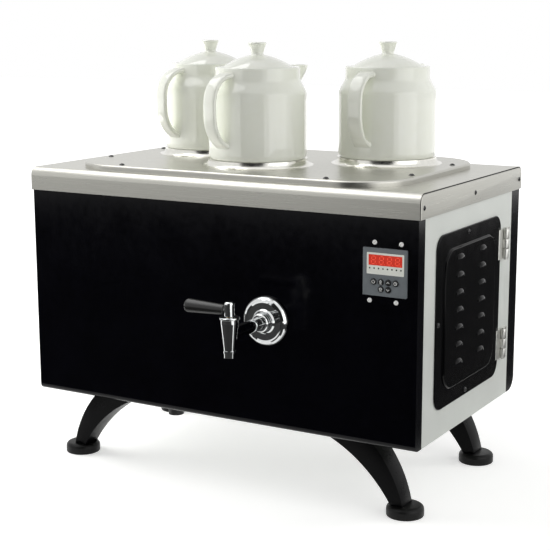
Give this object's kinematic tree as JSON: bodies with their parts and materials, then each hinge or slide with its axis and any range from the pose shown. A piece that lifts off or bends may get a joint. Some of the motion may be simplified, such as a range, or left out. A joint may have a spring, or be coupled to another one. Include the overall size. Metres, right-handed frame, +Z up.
{
  "type": "electric tea maker",
  "caption": "Electric tea maker: heated tank in a sheet-metal casing on bowed legs, with porcelain teapots on flared collars, a lever tap, a digital controller and a vented service door.",
  "frame": {"origin": "middle of the part's outline, on the surface it stands on", "axes": "+Z up, +Y towards the back, +X to the right as seen from the front, where the tap is"},
  "size_m": [0.6133, 0.472, 0.605],
  "materials": {
    "black_enamel": "gloss",
    "grey_paint": "satin",
    "door_black": "fine texture, semi-gloss",
    "leg_black": "satin",
    "brushed_steel": "brushed",
    "polished_steel": "fine brushed",
    "element_steel": "satin",
    "chrome": "polished",
    "screw_steel": "plated",
    "brass": "machined",
    "rubber": "matte",
    "black_plastic": "satin",
    "grey_plastic": "matte",
    "white_plastic": "matte",
    "red_lens": "gloss",
    "board_green": "coated",
    "insulation": "mineral felt",
    "porcelain": "glazed"
  },
  "bodies": {
    "casing": {"front_panel": "black_enamel", "rear_panel": "black_enamel", "left_side_panel": "grey_paint", "right_side_panel": "grey_paint", "front_left_leg": "leg_black", "front_right_leg": "leg_black", "rear_left_leg": "leg_black", "rear_right_leg": "leg_black", "base_plate": "brushed_steel", "top_cover": "brushed_steel", "controller_bracket": "brushed_steel", "pot_plate": "polished_steel", "pot_collars": "polished_steel", "water_tank": "polished_steel", "temperature_probe": "polished_steel", "heating_elements": "element_steel", "tap_rosette": "chrome", "tap_collar": "chrome", "tap_body": "chrome", "tap_bonnet": "chrome", "body_hinge_leaves": "chrome", "hinge_pins": "chrome", "top_cover_screws": "screw_steel", "pot_plate_screws": "screw_steel", "leg_screws": "screw_steel", "element_nuts": "brass", "tap_locknut": "brass", "plate_gasket": "rubber", "tap_seal": "rubber", "feet": "rubber", "controller_housing": "black_plastic", "cable_gland": "black_plastic", "gland_nut": "black_plastic", "drain_cap": "black_plastic", "controller_face": "grey_plastic", "controller_screws": "white_plastic", "contactor": "white_plastic", "terminal_block": "white_plastic", "overheat_cutout": "white_plastic", "display_window": "red_lens", "controller_board": "board_green", "insulation_jacket": "insulation"},
    "door": {"service_door": "door_black", "door_screws": "screw_steel", "door_hinge_leaves": "chrome"},
    "tap_lever": {"valve_plug": "brass", "lever_hub": "chrome", "lever_grip": "black_plastic"},
    "power_key": {"power_button": "black_plastic"},
    "heat_key": {"heat_button": "black_plastic"},
    "up_key": {"up_button": "black_plastic"},
    "timer_key": {"timer_button": "black_plastic"},
    "back_key": {"back_button": "black_plastic"},
    "down_key": {"down_button": "black_plastic"},
    "front_pot": {"front_teapot": "porcelain"},
    "left_pot": {"left_teapot": "porcelain"},
    "right_pot": {"right_teapot": "porcelain"},
    "front_lid": {"front_teapot_lid": "porcelain"},
    "left_lid": {"left_teapot_lid": "porcelain"},
    "right_lid": {"right_teapot_lid": "porcelain"}
  },
  "joints": [
    {"name": "door_hinge", "type": "hinge", "parent": "casing", "child": "door", "pos_m": [0.30225, 0.154, 0.256], "axis": [0, 0, 1], "range_deg": [0, 110]},
    {"name": "tap_turn", "type": "hinge", "parent": "casing", "child": "tap_lever", "pos_m": [0.08355, -0.223, 0.265], "axis": [0, 0, 1], "range_deg": [0, 90]},
    {"name": "power_press", "type": "slide", "parent": "casing", "child": "power_key", "axis": [0, 1, 0], "range_m": [0, 0.001], "stiffness_N_per_m": 400},
    {"name": "heat_press", "type": "slide", "parent": "casing", "child": "heat_key", "axis": [0, 1, 0], "range_m": [0, 0.001], "stiffness_N_per_m": 400},
    {"name": "up_press", "type": "slide", "parent": "casing", "child": "up_key", "axis": [0, 1, 0], "range_m": [0, 0.001], "stiffness_N_per_m": 400},
    {"name": "timer_press", "type": "slide", "parent": "casing", "child": "timer_key", "axis": [0, 1, 0], "range_m": [0, 0.001], "stiffness_N_per_m": 400},
    {"name": "back_press", "type": "slide", "parent": "casing", "child": "back_key", "axis": [0, 1, 0], "range_m": [0, 0.001], "stiffness_N_per_m": 400},
    {"name": "down_press", "type": "slide", "parent": "casing", "child": "down_key", "axis": [0, 1, 0], "range_m": [0, 0.001], "stiffness_N_per_m": 400},
    {"name": "front_pot_lift", "type": "slide", "parent": "casing", "child": "front_pot", "axis": [0, 0, 1], "range_m": [0, 0.18]},
    {"name": "front_lid_lift", "type": "slide", "parent": "front_pot", "child": "front_lid", "axis": [0, 0, 1], "range_m": [0, 0.08]},
    {"name": "left_pot_lift", "type": "slide", "parent": "casing", "child": "left_pot", "axis": [0, 0, 1], "range_m": [0, 0.18]},
    {"name": "left_lid_lift", "type": "slide", "parent": "left_pot", "child": "left_lid", "axis": [0, 0, 1], "range_m": [0, 0.08]},
    {"name": "right_pot_lift", "type": "slide", "parent": "casing", "child": "right_pot", "axis": [0, 0, 1], "range_m": [0, 0.18]},
    {"name": "right_lid_lift", "type": "slide", "parent": "right_pot", "child": "right_lid", "axis": [0, 0, 1], "range_m": [0, 0.08]}
  ]
}
